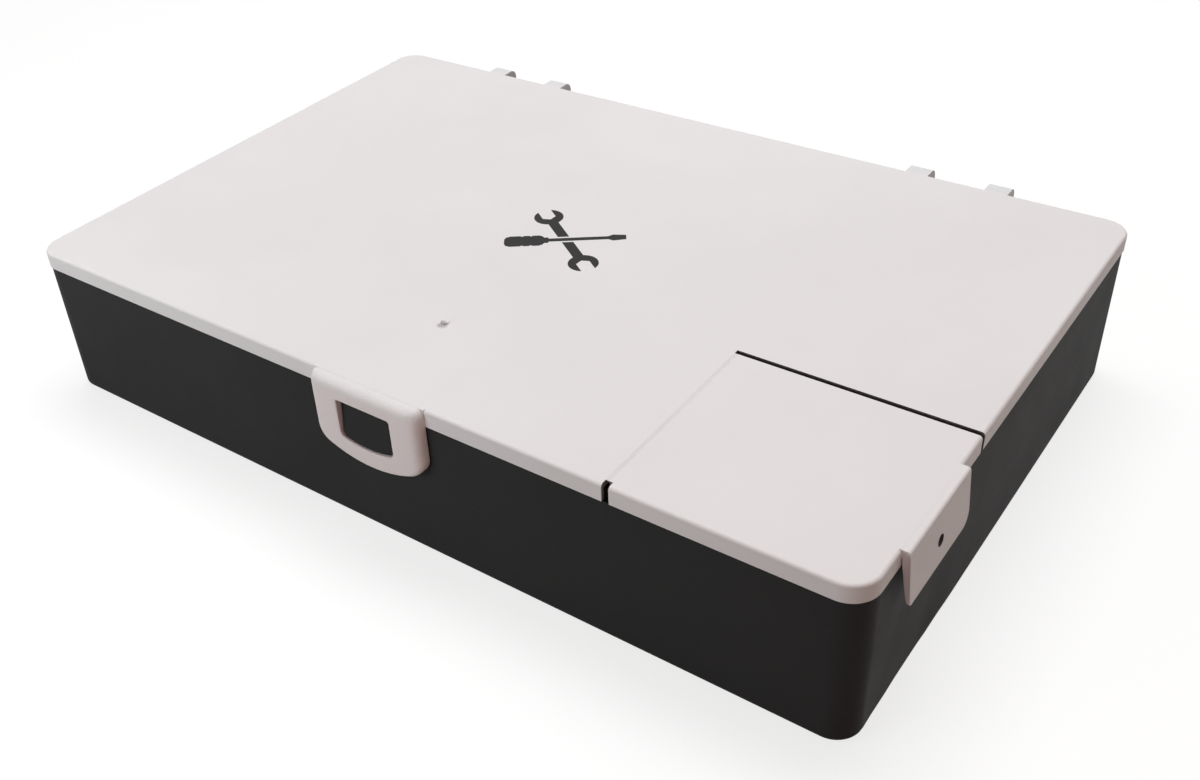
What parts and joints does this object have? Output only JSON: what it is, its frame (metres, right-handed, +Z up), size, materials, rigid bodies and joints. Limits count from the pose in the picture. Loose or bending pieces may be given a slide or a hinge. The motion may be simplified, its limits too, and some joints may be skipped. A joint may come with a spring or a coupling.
{
  "type": "toolbox",
  "caption": "Flat plastic toolbox with a snap-latched hinged lid, a corner flap over a small bin, and lift-out dividers in the main bays.",
  "frame": {"origin": "centre of the tub's flat underside, on the surface that the box stands on", "axes": "+X along the front to the right, +Y from the latch to the hinges, +Z up"},
  "size_m": [0.334, 0.2252, 0.0606],
  "materials": {
    "charcoal_plastic": "fine matt moulded texture",
    "ivory_plastic": "satin, very fine grain",
    "divider_plastic": "fine matt moulded texture"
  },
  "bodies": {
    "tub": {"tub_walls": "charcoal_plastic", "tub_floor": "charcoal_plastic", "front_catch": "charcoal_plastic", "flap_stud": "charcoal_plastic", "hinge_lug_left": "charcoal_plastic", "hinge_lug_right": "charcoal_plastic", "hinge_pin_left": "charcoal_plastic", "hinge_pin_right": "charcoal_plastic", "corner_bin_wall": "charcoal_plastic", "long_partition": "charcoal_plastic", "rail_front": "charcoal_plastic", "rail_partition_front": "charcoal_plastic", "rail_partition_rear": "charcoal_plastic", "rail_rear": "charcoal_plastic", "divider_left": "divider_plastic", "divider_middle": "divider_plastic", "divider_right": "divider_plastic"},
    "lid": {"lid_panel": "ivory_plastic", "flap_hinge_web": "ivory_plastic", "hinge_arm_1": "ivory_plastic", "hinge_arm_2": "ivory_plastic", "hinge_arm_3": "ivory_plastic", "hinge_arm_4": "ivory_plastic"},
    "flap": {"flap_panel": "ivory_plastic", "flap_tab": "ivory_plastic"},
    "latch": {"latch_loop": "ivory_plastic"}
  },
  "joints": [
    {"name": "lid_hinge", "type": "hinge", "parent": "tub", "child": "lid", "pos_m": [0, 0.1104, 0.051], "axis": [-1, 0, 0], "range_deg": [0, 110]},
    {"name": "flap_hinge", "type": "hinge", "parent": "lid", "child": "flap", "pos_m": [0.087, -0.0695, 0.06], "axis": [0, -1, 0], "range_deg": [0, 170]},
    {"name": "latch_flex", "type": "hinge", "parent": "lid", "child": "latch", "pos_m": [0, -0.1065, 0.06], "axis": [-1, 0, 0], "range_deg": [0, 12], "stiffness_Nm_per_rad": 1.4}
  ]
}
